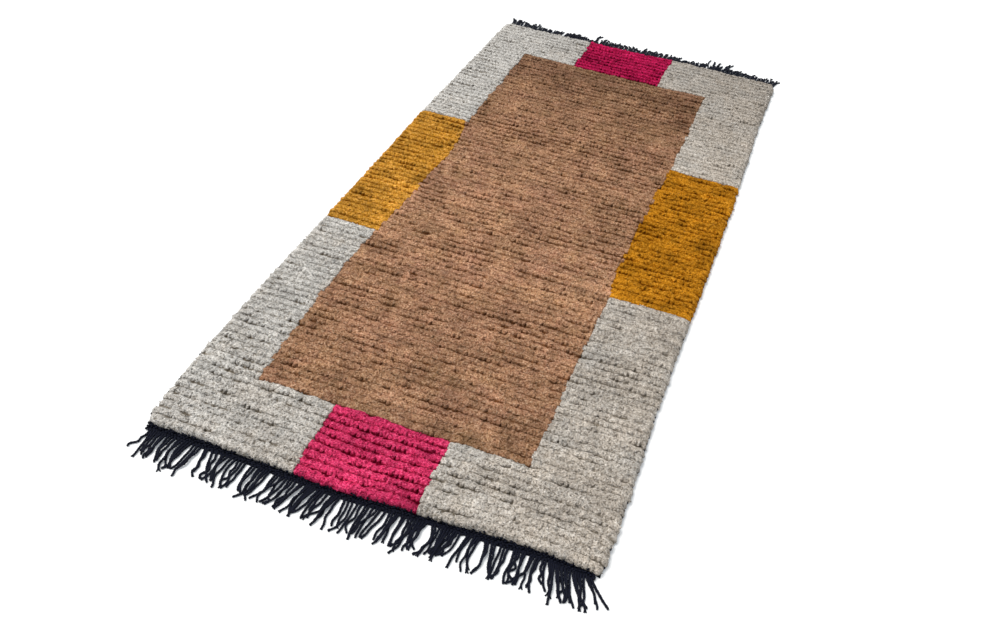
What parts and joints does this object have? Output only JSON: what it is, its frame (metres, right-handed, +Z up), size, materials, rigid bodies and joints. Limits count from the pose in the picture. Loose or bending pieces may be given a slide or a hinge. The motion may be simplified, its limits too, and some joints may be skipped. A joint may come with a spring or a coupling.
{
  "type": "knotted wool rug",
  "caption": "Flat runner rug with a thick knotted wool pile in rows, blocks of colour, and a woven band with a loose cotton fringe at both ends.",
  "frame": {"origin": "on the floor, under the middle of the box around the rug and its fringe", "axes": "+X across the rug to the right as seen from its near end, +Y along the rug from the near end to the far end, +Z up"},
  "size_m": [0.6276, 1.526, 0.0138],
  "materials": {
    "brown_wool": "chunky knotted wool pile in rows, matt, slightly mottled brown",
    "grey_wool": "chunky knotted wool pile in rows, matt, warm light grey",
    "mustard_wool": "chunky knotted wool pile in rows, matt, mustard yellow",
    "pink_wool": "chunky knotted wool pile in rows, matt, raspberry pink",
    "black_cotton": "twisted cotton yarn, matt, black with a cool tint"
  },
  "bodies": {
    "root": {"pile_rug": "brown_wool", "near_fringe": "black_cotton", "far_fringe": "black_cotton"}
  },
  "joints": []
}
